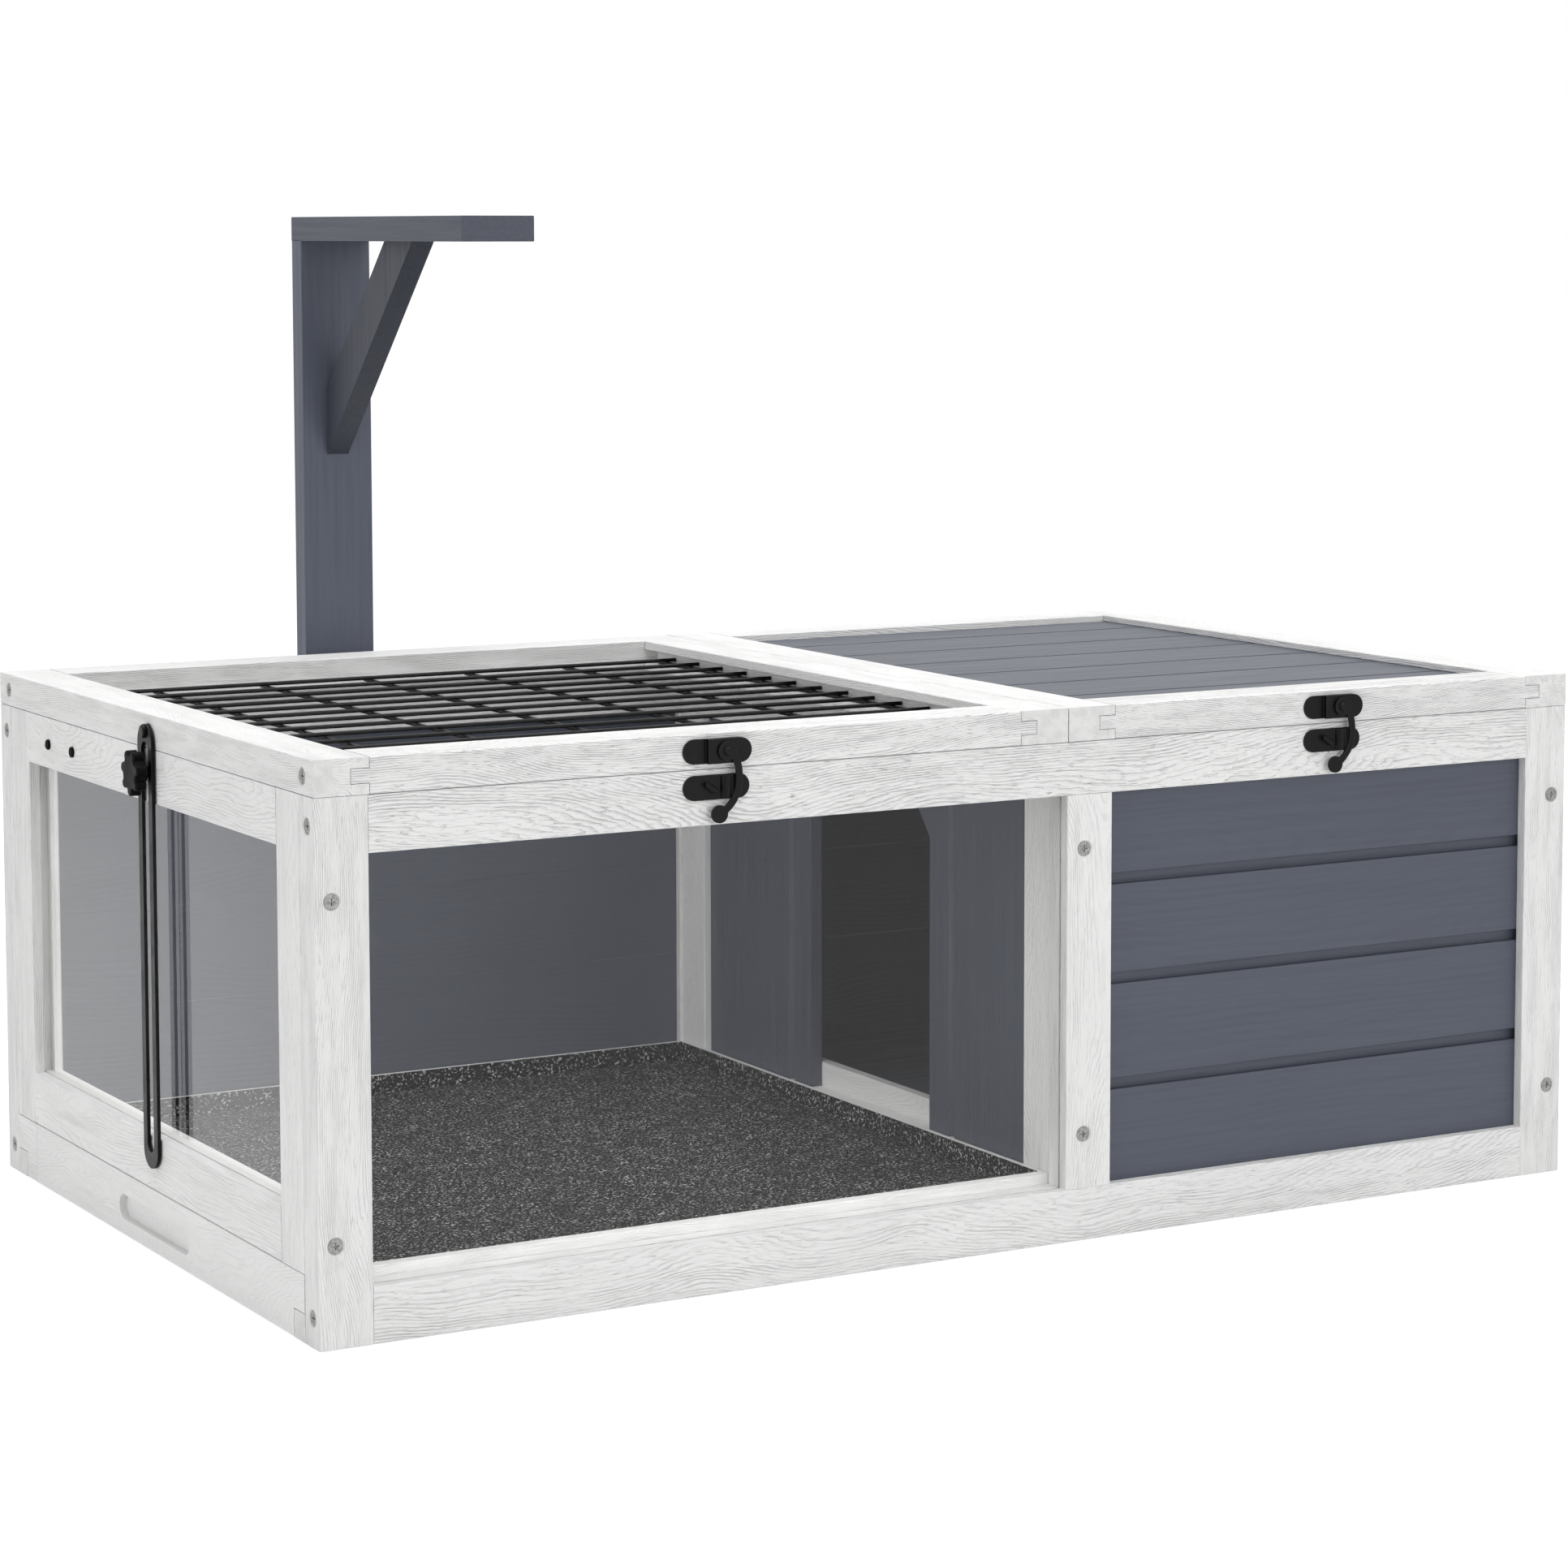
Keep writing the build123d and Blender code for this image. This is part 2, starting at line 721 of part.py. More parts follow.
def make_mesh():
    """Welded wire mesh: long wires on top of cross wires, held in the side rail grooves."""
    centre_x = (left_x + left_lid_high) / 2
    centre_y = (lid_opening_low_y + lid_opening_high_y) / 2 - mesh_shift
    cross_z = mesh_groove_low + joint_fit + wire_radius
    long_z = cross_z + 2 * wire_radius - weld_depth
    lid_opening_length = left_lid_high - left_x - 2 * lid_rail_width
    long_wire_length = lid_opening_length + 2 * (mesh_groove_depth - long_wire_end_gap)
    long_wire_pitch = (lid_opening_high_y - lid_opening_low_y - 2 * long_wire_margin) / (long_wire_count - 1)
    cross_wires_length = long_wire_length - long_wire_nub - long_wire_first_reach
    cross_wire_pitch = cross_wires_length / (cross_wire_count - 1)
    last_cross_x = centre_x + long_wire_length / 2 - long_wire_nub
    cross_middle_x = last_cross_x - cross_wires_length / 2
    cross_wire_length = (long_wire_count - 1) * long_wire_pitch + 2 * cross_wire_nub
    long_start = (centre_x - long_wire_length / 2, centre_y, long_z)
    cross_start = (cross_middle_x, centre_y - cross_wire_length / 2, cross_z)
    with BuildPart() as mesh:
        with BuildSketch(Plane(origin=long_start, x_dir=(0, 1, 0), z_dir=(1, 0, 0))):
            with GridLocations(long_wire_pitch, 0, long_wire_count, 1):
                Circle(wire_radius)
        extrude(amount=long_wire_length)
        with BuildSketch(Plane(origin=cross_start, x_dir=(-1, 0, 0), z_dir=(0, 1, 0))):
            with GridLocations(cross_wire_pitch, 0, cross_wire_count, 1):
                Circle(wire_radius)
        extrude(amount=cross_wire_length)
    return mesh


def make_lid_boards():
    """The boards of the closed lid, lying along it and housed in the rail grooves."""
    low_x = right_lid_low + lid_rail_width - board_bite
    high_x = right_x - lid_rail_width + board_bite
    low_y = lid_opening_low_y + seat_gap
    high_y = lid_opening_high_y - seat_gap
    seam_count = lid_board_count - 1
    first_seam = lid_opening_low_y + lid_end_board_width
    last_seam = lid_opening_high_y - lid_end_board_width
    lid_board_pitch = (last_seam - first_seam) / (seam_count - 1)
    seams = [first_seam + index * lid_board_pitch for index in range(seam_count)]
    starts = [low_y] + [seam + joint_fit for seam in seams]
    ends = [seam - joint_fit for seam in seams] + [high_y]
    board_low = board_groove_low + groove_width - seat_gap - board_thickness
    with BuildPart() as boards:
        with BuildSketch(Plane.XY.offset(board_low)):
            for start, end in zip(starts, ends):
                span(low_x, high_x, start, end)
        extrude(amount=board_thickness)
        top_edges = boards.faces().group_by(Axis.Z)[-1].edges().filter_by(Axis.X)
        chamfer(top_edges, lid_board_chamfer)
    return boards


lid_screw_y = (front_y + lid_screw_inset, back_y - lid_screw_inset)


def lid_seats(low_x, high_x):
    """Screw seats on the two outer edges of a lid."""
    low_seats = seats([(low_x, y, lid_middle) for y in lid_screw_y], (-1, 0, 0))
    high_seats = seats([(high_x, y, lid_middle) for y in lid_screw_y], (1, 0, 0))
    return low_seats + high_seats


left_pivot_seat = Plane(origin=(left_x, stay_y, lid_middle), z_dir=(-1, 0, 0))
right_pivot_seat = Plane(origin=(right_x, stay_y, lid_middle), z_dir=(1, 0, 0))
left_lid_seats = lid_seats(left_x, left_lid_high)
right_lid_seats = lid_seats(right_lid_low, right_x)
lid_top = lid_bottom + stock_thickness
mesh_groove_low = lid_top - mesh_lip - mesh_groove_height
board_groove_low = lid_top - lid_board_lip - groove_width
mesh_groove = (mesh_groove_low, mesh_groove_height, mesh_groove_depth)
board_groove = (board_groove_low, groove_width, groove_depth)
left_lid_side_rails = lid_side_rails(
    left_x, left_lid_high, mesh_groove, left_lid_seats, left_pivot_seat
)
left_lid_front_rail = lid_cross_rail(
    left_x, left_lid_high, front_y, lid_opening_low_y, left_lid_seats
)
left_lid_back_rail = lid_cross_rail(
    left_x, left_lid_high, lid_opening_high_y, back_y, left_lid_seats
)
wire_mesh = make_mesh()
right_lid_side_rails = lid_side_rails(
    right_lid_low, right_x, board_groove, right_lid_seats, right_pivot_seat
)
right_lid_front_rail = lid_cross_rail(
    right_lid_low, right_x, front_y, lid_opening_low_y, right_lid_seats
)
right_lid_back_rail = lid_cross_rail(
    right_lid_low, right_x, lid_opening_high_y, back_y, right_lid_seats
)
right_lid_boards = make_lid_boards()


# Hinges: a leaf on the box with two outer knuckles, a leaf on the lid with the middle knuckle
def hinge_places(low_x, high_x):
    """The middles of the two hinges of a lid."""
    middle = (low_x + high_x) / 2
    reach = hinge_place_share * (high_x - low_x)
    return (middle - reach, middle + reach)


def along_x(x, y, z):
    """A plane across the X axis, looking to the right."""
    return Plane(origin=(x, y, z), x_dir=(0, 1, 0), z_dir=(1, 0, 0))


def hinge_leaf(middle_x, side, knuckles):
    """A leaf on the back, above the axis for side 1 and below it for side -1."""
    near = side * (knuckle_radius + seat_gap)
    far = side * hinge_leaf_height
    leaf_plane = Plane(origin=(middle_x, back_y, box_height), x_dir=(-1, 0, 0), z_dir=(0, 1, 0))
    with BuildPart() as leaf:
        with BuildSketch(leaf_plane):
            span(-hinge_length / 2, hinge_length / 2, min(near, far), max(near, far))
            for start, end in knuckles:
                span(start, end, min(0, near), max(0, near))
        extrude(amount=hinge_leaf_thickness)
        for start, end in knuckles:
            with BuildSketch(along_x(middle_x + start, hinge_y, box_height)):
                Circle(knuckle_radius)
            extrude(amount=end - start)
        with BuildSketch(along_x(middle_x - hinge_length / 2, hinge_y, box_height)):
            Circle(hinge_pin_radius + pin_fit)
        extrude(amount=hinge_length, mode=Mode.SUBTRACT)
    return leaf


def hinge_pin(middle_x):
    """The pin through the knuckles of one hinge."""
    with BuildPart() as pin:
        with BuildSketch(along_x(middle_x - hinge_length / 2, hinge_y, box_height)):
            Circle(hinge_pin_radius)
        extrude(amount=hinge_length)
    return pin


third = hinge_length / 3
lid_knuckle = [(-third / 2 + joint_fit, third / 2 - joint_fit)]
box_knuckles = [(-hinge_length / 2, -third / 2 - joint_fit), (third / 2 + joint_fit, hinge_length / 2)]
left_hinges = hinge_places(left_x, left_lid_high)
right_hinges = hinge_places(right_lid_low, right_x)
left_lid_hinge_leaves = group(*[hinge_leaf(x, 1, lid_knuckle) for x in left_hinges])
right_lid_hinge_leaves = group(*[hinge_leaf(x, 1, lid_knuckle) for x in right_hinges])
box_hinge_leaves = group(*[hinge_leaf(x, -1, box_knuckles) for x in left_hinges + right_hinges])
hinge_pins = group(*[hinge_pin(x) for x in left_hinges + right_hinges])


# Countersunk screws, all alike
def make_screw():
    """One screw along Z, its head just below the seat."""
    head_low = -screw_sink - screw_head_height
    with BuildPart() as screw:
        with BuildSketch(Plane.XZ):
            with BuildLine():
                Polyline(
                    (0, -screw_sink),
                    (screw_head_radius, -screw_sink),
                    (screw_shank_radius, head_low),
                    (screw_shank_radius, -screw_length + screw_shank_radius),
                    (0, -screw_length),
                    close=True,
                )
            make_face()
        revolve(axis=Axis.Z)
        with BuildSketch(Plane.XY.offset(-screw_sink)):
            Rectangle(recess_length, recess_width)
            Rectangle(recess_width, recess_length)
        extrude(amount=-recess_depth, mode=Mode.SUBTRACT)
    return screw


def screw_set(screw_seats):
    """The screws of one body, a separate solid at each seat."""
    blank = make_screw()
    with BuildPart() as screws:
        with Locations(*screw_seats):
            add(blank.part)
    return screws


frame_seats = (
    front_left_seats + front_centre_seats + front_right_seats
    + back_left_seats + back_centre_seats + back_right_seats
    + left_front_seats + left_back_seats + right_front_seats + right_back_seats
    + lamp_back_seats + lamp_arm_seats
)
frame_screws = screw_set(frame_seats)
left_lid_screws = screw_set(left_lid_seats)
right_lid_screws = screw_set(right_lid_seats)


# Latches: a plate with a raised pad and a rivet on the lid, a swinging hook, a keeper on the box
def latch_seat(low_x, high_x):
    """The middle of a latch plate on a lid front, looking out."""
    middle = (low_x + high_x) / 2 + latch_shift
    return Plane(origin=(middle, front_y, lid_middle), x_dir=(1, 0, 0), z_dir=(0, -1, 0))


def moved_plane(plane, x, y):
    """The same plane with its origin moved along itself."""
    return Plane(origin=plane.from_local_coords(Vector(x, y, 0)), x_dir=plane.x_dir, z_dir=plane.z_dir)


pivot_x = latch_pivot_place - latch_length / 2


def latch_plate(seat):
    """The lid plate, its pad raised to carry the hook, with the rivet."""
    pad_start = latch_pad_start - latch_length / 2
    with BuildPart() as plate:
        with BuildSketch(seat):
            SlotOverall(latch_length, latch_height)
        extrude(amount=latch_plate_thickness)
        with BuildSketch(seat):
            SlotOverall(latch_length, latch_height)
            span(pad_start, latch_length, -latch_height, latch_height, Mode.INTERSECT)
        extrude(amount=latch_pad_rise)
        with BuildSketch(seat):
            with Locations((pivot_x, 0)):
                Circle(rivet_radius)
        extrude(amount=reach_front)
        with BuildSketch(seat.offset(rivet_head_low)):
            with Locations((pivot_x, 0)):
                Circle(rivet_head_radius)
        extrude(amount=rivet_head_height, taper=rivet_head_taper)
    return plate


def latch_hook(seat):
    """The flat hook: an eye on the rivet, an arm that bends round the keeper and a finger tab."""
    bends = [(pivot_x + x, y) for x, y in hook_bends]
    tab = (pivot_x - hook_tab_back, -hook_tab_drop)
    with BuildPart() as hook:
        with BuildSketch(seat.offset(hook_low)):
            with BuildLine():
                Spline((pivot_x, 0), *bends, tab)
            trace(line_width=hook_arm_width)
            with Locations((pivot_x, 0)):
                Circle(hook_eye_radius)
            with Locations(tab):
                Circle(hook_tab_radius)
        extrude(amount=hook_thickness)
        with Locations(moved_plane(seat.offset(hook_high), pivot_x, 0)):
            Hole(rivet_radius + pin_fit, hook_thickness)
    return hook


def latch_keeper(seat):
    """The box plate, with a rolled loop and a twisted staple standing out of it."""
    keeper_seat = moved_plane(seat, 0, -keeper_drop)
    loop_x = loop_start - latch_length / 2 + loop_radius
    staple_x = staple_place - latch_length / 2
    loop_low = moved_plane(keeper_seat, loop_x, -loop_height / 2).origin
    with BuildPart() as staple:
        with BuildSketch(keeper_seat):
            with Locations(Location((staple_x, 0), staple_turn)):
                SlotOverall(staple_length, staple_width)
        extrude(amount=staple_rise)
        fillet(staple.faces().sort_by(Axis.Y)[0].edges(), staple_round)
    with BuildPart() as keeper:
        with BuildSketch(keeper_seat):
            SlotOverall(latch_length, latch_height)
        extrude(amount=latch_plate_thickness)
        with BuildSketch(Plane(origin=loop_low, x_dir=(1, 0, 0), z_dir=(0, 0, 1))):
            Circle(loop_radius)
            Circle(loop_radius - latch_plate_thickness, mode=Mode.SUBTRACT)
            span(-loop_radius, loop_radius, 0, loop_radius, Mode.SUBTRACT)
        extrude(amount=loop_height)
        add(staple.part)
    return keeper


left_latch_seat = latch_seat(left_x, left_lid_high)
right_latch_seat = latch_seat(right_lid_low, right_x)
left_latch_plate = latch_plate(left_latch_seat)
right_latch_plate = latch_plate(right_latch_seat)
left_latch_hook = latch_hook(left_latch_seat)
right_latch_hook = latch_hook(right_latch_seat)
latch_keepers = group(latch_keeper(left_latch_seat), latch_keeper(right_latch_seat))


# Lid stays: a slotted bar that hangs from the lid and slides over a stud in the side rail
def make_stay():
    """The slotted bar on the left side, hanging straight down with the lid shut."""
    top = lid_middle + stay_top_margin
    slot_high = lid_middle - stay_slot_top
    slot_low = stay_foot + stay_slot_bottom
    middle = (top + stay_foot) / 2
    bar_x = left_x - stay_gap
    with BuildPart() as stay:
        with BuildSketch(Plane(origin=(bar_x, stay_y, middle), x_dir=(0, 0, 1), z_dir=(-1, 0, 0))):
            SlotOverall(top - stay_foot, stay_width)
            with Locations(((slot_high + slot_low) / 2 - middle, 0)):
                SlotOverall(slot_high - slot_low, stay_slot_width, mode=Mode.SUBTRACT)
            with Locations((lid_middle - middle, 0)):
                Circle(stay_pivot_radius + pin_fit, mode=Mode.SUBTRACT)
        extrude(amount=stay_thickness)
    return stay


def make_stay_pivot():
    """The shoulder screw in the lid rail that the stay turns on."""
    shank_end = stay_gap + stay_thickness + seat_gap
    with BuildPart() as pivot:
        with BuildSketch(left_pivot_seat.offset(-stay_pivot_sink)):
            Circle(stay_pivot_radius)
        extrude(amount=stay_pivot_sink + shank_end)
        with BuildSketch(left_pivot_seat):
            Circle(stay_pivot_collar_radius)
        extrude(amount=stay_gap - pin_fit)
        with BuildSketch(left_pivot_seat.offset(shank_end)):
            Circle(stay_pivot_head_radius)
        extrude(amount=stay_pivot_head_height)
        fillet(pivot.faces().sort_by(Axis.X)[0].edges(), stay_pivot_head_height / 2)
    return pivot


knob_start = stay_gap + stay_thickness + seat_gap


def make_stud():
    """The stud in the side rail that the stay slides over and the knob turns on."""
    with BuildPart() as stud:
        with BuildSketch(left_stud_seat.offset(-stud_sink)):
            Circle(stud_radius)
        extrude(amount=stud_sink + knob_start + knob_bore_depth - seat_gap)
        chamfer(stud.faces().sort_by(Axis.X)[0].edges(), seat_gap)
    return stud


def make_knob():
    """The star knob with its bore for the stud."""
    lobe_pitch = knob_radius - knob_lobe_radius
    with BuildPart() as knob:
        with BuildSketch(left_stud_seat.offset(knob_start)):
            Circle(knob_neck_radius)
        extrude(amount=knob_neck_length)
        with BuildSketch(left_stud_seat.offset(knob_start + knob_neck_length)) as star:
            Circle(knob_core_radius)
            with PolarLocations(lobe_pitch, knob_lobe_count):
                Circle(knob_lobe_radius)
            fillet(star.vertices(), knob_valley_round)
        extrude(amount=knob_body_length)
        fillet(knob.faces().sort_by(Axis.X)[0].edges(), knob_edge_round)
        with BuildSketch(left_stud_seat.offset(knob_start)):
            Circle(stud_radius + pin_fit)
        extrude(amount=knob_bore_depth, mode=Mode.SUBTRACT)
    return knob


left_stay = make_stay()
left_stay_pivot = make_stay_pivot()
left_knob = make_knob()
left_stud = make_stud()
right_stay = mirrored(left_stay)
right_stay_pivot = mirrored(left_stay_pivot)
right_knob = mirrored(left_knob)
stay_studs = group(left_stud, mirrored(left_stud))


def make_plugs():
    """Domed rubber plugs pushed into the side rail."""
    with BuildPart() as plugs:
        for seat in plug_seats:
            with BuildSketch(seat.offset(-plug_stem_length)):
                Circle(plug_stem_radius)
            extrude(amount=plug_stem_length)
            with BuildSketch(seat):
                Circle(plug_radius)
            extrude(amount=plug_dome_height)
        fillet(plugs.faces().group_by(Axis.X)[0].edges(), plug_dome_height / 2)
    return plugs


vent_plugs = make_plugs()


# Lamp holder: cleats on the back rails, a post, an arm over the open room and a brace
lamp_low_x = lamp_x - lamp_width / 2
lamp_high_x = lamp_x + lamp_width / 2
lamp_seats = lamp_back_seats + lamp_arm_seats
lamp_cleats = group(
    block(
        (lamp_low_x, back_y, lamp_post_foot),
        (lamp_high_x, lamp_front_y, stock_width),
        lamp_back_seats,
    ),
    block(
        (lamp_low_x, back_y, top_rail_low),
        (lamp_high_x, lamp_front_y, box_height - running_gap),
        lamp_back_seats,
    ),
)
lamp_post = block(
    (lamp_low_x, lamp_front_y, lamp_post_foot), (lamp_high_x, lamp_back_y, lamp_post_top), lamp_seats
)
lamp_arm = block(
    (lamp_low_x, lamp_back_y - lamp_arm_length, lamp_post_top),
    (lamp_high_x, lamp_back_y, lamp_arm_top),
    lamp_arm_seats,
)


def make_brace():
    """The diagonal brace under the arm, cut flat where it meets the post and the arm."""
    with BuildPart() as brace:
        with BuildSketch(along_x(lamp_x - brace_thickness / 2, lamp_front_y, lamp_post_top)):
            with BuildLine():
                Polyline(
                    (0, -brace_inner),
                    (0, -brace_outer),
                    (-brace_outer, 0),
                    (-brace_inner, 0),
                    close=True,
                )
            make_face()
        extrude(amount=brace_thickness)
    return brace


lamp_brace = make_brace()

# Each piece is written under its own name
pieces = {
    "front_stiles": front_stiles,
    "front_stile_centre": front_stile_centre,
    "front_rail_top": front_rail_top,
    "front_rail_bottom": front_rail_bottom,
    "front_pane": front_pane,
    "front_boards": front_boards,
    "back_stiles": back_stiles,
    "back_rails": back_rails,
    "back_boards": back_boards,
    "left_stiles": left_stiles,
    "left_rail_top": left_rail_top,
    "left_rail_bottom": left_rail_bottom,
    "left_pane": left_pane,
    "right_stiles": right_stiles,
    "right_rails": right_rails,
    "right_boards": right_boards,
    "partition_posts": partition_posts,
    "partition_rail_top": partition_rail_top,
    "partition_sill": partition_sill,
    "partition_boards": partition_boards,
    "chamber_floor": chamber_floor,
    "floor_battens": floor_battens,
    "tray_fascia": tray_fascia,
    "tray_end_block": tray_end_block,
    "tray_side_boards": tray_side_boards,
    "tray_end_board": tray_end_board,
    "tray_bottom": tray_bottom,
    "tray_liner": tray_liner,
    "left_lid_side_rails": left_lid_side_rails,
    "left_lid_front_rail": left_lid_front_rail,
    "left_lid_back_rail": left_lid_back_rail,
    "wire_mesh": wire_mesh,
    "right_lid_side_rails": right_lid_side_rails,
    "right_lid_front_rail": right_lid_front_rail,
    "right_lid_back_rail": right_lid_back_rail,
    "right_lid_boards": right_lid_boards,
    "left_lid_hinge_leaves": left_lid_hinge_leaves,
    "right_lid_hinge_leaves": right_lid_hinge_leaves,
    "box_hinge_leaves": box_hinge_leaves,
    "hinge_pins": hinge_pins,
    "left_latch_plate": left_latch_plate,
    "right_latch_plate": right_latch_plate,
    "left_latch_hook": left_latch_hook,
    "right_latch_hook": right_latch_hook,
    "latch_keepers": latch_keepers,
    "left_stay": left_stay,
    "right_stay": right_stay,
    "left_stay_pivot": left_stay_pivot,
    "right_stay_pivot": right_stay_pivot,
    "left_knob": left_knob,
    "right_knob": right_knob,
    "stay_studs": stay_studs,
    "left_lid_screws": left_lid_screws,
    "right_lid_screws": right_lid_screws,
    "frame_screws": frame_screws,
    "vent_plugs": vent_plugs,
    "lamp_cleats": lamp_cleats,
    "lamp_post": lamp_post,
    "lamp_arm": lamp_arm,
    "lamp_brace": lamp_brace,
}
os.makedirs("parts", exist_ok=True)
for name, piece in pieces.items():
    piece.part.label = name
    export_step(piece.part, f"parts/{name}.step")
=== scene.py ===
import math

import bmesh
import bpy
from mathutils import Matrix, Vector

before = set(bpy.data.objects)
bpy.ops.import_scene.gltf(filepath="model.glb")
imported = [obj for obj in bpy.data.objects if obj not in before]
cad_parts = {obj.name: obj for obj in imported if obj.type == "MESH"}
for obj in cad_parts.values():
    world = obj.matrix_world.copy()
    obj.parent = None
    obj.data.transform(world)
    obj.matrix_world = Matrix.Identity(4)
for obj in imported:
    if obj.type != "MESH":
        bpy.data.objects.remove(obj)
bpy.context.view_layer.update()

# Tones, as linear colours
WHITE = (0.80, 0.80, 0.795)
WHITE_CLOUD = (0.772, 0.772, 0.767175)
# Colour of the grain lines: painted shade in their grooves, with some pooled paint
WHITE_LINE_POOL_AND_SHADE = (0.62, 0.62, 0.615)
GREY = (0.078, 0.087, 0.115)
GREY_DARK = (0.059, 0.065, 0.087)
BLACK = (0.0025, 0.0025, 0.0028)
# A lighter black for worn patches and for the painted highlight along the metal's edges
BLACK_WORN_AND_HIGHLIGHT = (0.055, 0.055, 0.056)
ZINC = (0.28, 0.28, 0.275)
ZINC_DULL = (0.17, 0.17, 0.165)
LINER_DARK = (0.004, 0.004, 0.0045)
LINER_SPECK = (0.60, 0.60, 0.60)
CLEAR_TINT = (0.955, 0.955, 0.945)
CLEAR_SHADOW = (0.92, 0.925, 0.93)
FLOOR_TONE = (0.80, 0.80, 0.80)
FLOOR_PALE = (0.82, 0.82, 0.82)
BACKDROP = (1.0, 1.0, 1.0)

# Growth rings: line spacing, and how far a knot bends the lines
WHITE_RINGS = 0.00125
WHITE_KNOTS = 0.009
GREY_RINGS = 0.0040
GREY_KNOTS = 0.006

# The heart of the tree beside the board, how far it wanders, how deep it lies, and how boards differ
HEART_SIDE = 0.058
HEART_SWAY = 0.060
HEART_DEPTH = -0.014
HEART_DRIFT = 0.070
BOARD_SHIFT = 0.731
NODE_SHIFT = 1.37
SLAB_STEP = 0.017
SLAB_FOLD = 0.050
WAVE_SIZE = 0.0050
RIPPLE_SIZE = 0.0009

# Relief of each surface, and the rounding of the metal's edges
WHITE_RELIEF = 0.00060
GREY_RELIEF = 0.00020
COAT_RELIEF = 0.00005
ZINC_RELIEF = 0.00006
LINER_RELIEF = 0.0005
EDGE_ROUND = 0.0007

# Refractive index of the panes
FRONT_INDEX = 1.25
LEFT_INDEX = 1.20

# Stage, and the place, size and power of each lamp
FLOOR_HALF = 30.0
FLOOR_DROP = 0.0005
FLOOR_GLOW = 0.60
ROOM_LIGHT = 0.44
ROOM_SHOWN = 1.0
OVERHEAD = ((0.1, -0.2, 3.6), 3.0, 104.0)
FRONT_FILL = ((0.9, -5.2, 1.5), 3.6, 80.0)
LEFT_FILL = ((-5.2, -0.9, 1.5), 3.6, 64.0)
OVERHEAD_AIM = 0.3
FILL_AIM = 0.25


# Node helpers
class Tree:
    """A short way to build a material's nodes."""

    def __init__(self, name):
        self.material = bpy.data.materials.new(name)
        self.material.use_nodes = True
        self.nodes = self.material.node_tree.nodes
        self.links = self.material.node_tree.links
        self.nodes.clear()
        self.output = self.nodes.new("ShaderNodeOutputMaterial")

    def feed(self, socket, value):
        """Links a value from another node, or sets a number or colour."""
        if isinstance(value, bpy.types.NodeSocket):
            self.links.new(value, socket)
        else:
            socket.default_value = (*value, 1.0) if isinstance(value, tuple) else value

    def math(self, operation, *values, clamp=False):
        node = self.nodes.new("ShaderNodeMath")
        node.operation = operation
        node.use_clamp = clamp
        for socket, value in zip(node.inputs, values):
            self.feed(socket, value)
        return node.outputs[0]

    def vector(self, *values):
        node = self.nodes.new("ShaderNodeCombineXYZ")
        for socket, value in zip(node.inputs, values):
            self.feed(socket, value)
        return node.outputs[0]

    def mix(self, factor, first, second):
        node = self.nodes.new("ShaderNodeMix")
        node.data_type = "RGBA"
        sockets = (node.inputs[0], node.inputs[6], node.inputs[7])
        for socket, value in zip(sockets, (factor, first, second)):
            self.feed(socket, value)
        return node.outputs[2]

    def ramp(self, value, low, high, out_low=0.0, out_high=1.0):
        node = self.nodes.new("ShaderNodeMapRange")
        node.interpolation_type = "SMOOTHSTEP"
        keys = ("From Min", "From Max", "To Min", "To Max")
        for key, number in zip(keys, (low, high, out_low, out_high)):
            node.inputs[key].default_value = number
        self.links.new(value, node.inputs["Value"])
        return node.outputs["Result"]

    def noise(self, vector, scale, detail=2.0, roughness=0.5, distortion=0.0):
        node = self.nodes.new("ShaderNodeTexNoise")
        node.inputs["Scale"].default_value = scale
        node.inputs["Detail"].default_value = detail
        node.inputs["Roughness"].default_value = roughness
        node.inputs["Distortion"].default_value = distortion
        self.links.new(vector, node.inputs["Vector"])
        return node.outputs["Fac"]

    def streaks(self, board, share, scale, detail, roughness):
        """Noise on a board, drawn out along it where the share is small."""
        length, own, depth = board
        place = self.vector(self.math("MULTIPLY", length, share), own, depth)
        return self.noise(place, scale, detail, roughness)

    def bump(self, height, strength, distance, normal=None):
        node = self.nodes.new("ShaderNodeBump")
        node.inputs["Strength"].default_value = strength
        node.inputs["Distance"].default_value = distance
        self.links.new(height, node.inputs["Height"])
        if normal is not None:
            self.links.new(normal, node.inputs["Normal"])
        return node.outputs["Normal"]

    def finish(self, shader):
        self.links.new(shader, self.output.inputs["Surface"])
        return self.material


def board_coordinates(tree, along, across, cell, start, seed):
    """Places on the board (along it, across it, into it) and the shift from board to board."""
    coordinates = tree.nodes.new("ShaderNodeTexCoord")
    split = tree.nodes.new("ShaderNodeSeparateXYZ")
    tree.links.new(coordinates.outputs["Object"], split.inputs[0])
    axes = dict(zip("xyz", split.outputs))
    depth = next(axis for axis in "xyz" if axis not in (along, across))
    steps = tree.math("DIVIDE", tree.math("SUBTRACT", axes[across], start), cell)
    index = tree.math("FLOOR", steps)
    own = tree.math("MULTIPLY", tree.math("SUBTRACT", tree.math("FRACT", steps), 0.5), cell)
    shift = tree.math("MULTIPLY_ADD", index, BOARD_SHIFT, seed * NODE_SHIFT)
    length = tree.math("ADD", axes[along], shift)
    return (length, own, axes[depth]), shift


def seen_rays(nodes, links):
    """The value one for rays from the camera, from a gloss and through a clear sheet."""
    path = nodes.new("ShaderNodeLightPath")
    seen = path.outputs["Is Camera Ray"]
    for key in ("Is Glossy Ray", "Is Transmission Ray"):
        most = nodes.new("ShaderNodeMath")
        most.operation = "MAXIMUM"
        links.new(seen, most.inputs[0])
        links.new(path.outputs[key], most.inputs[1])
        seen = most.outputs[0]
    return seen


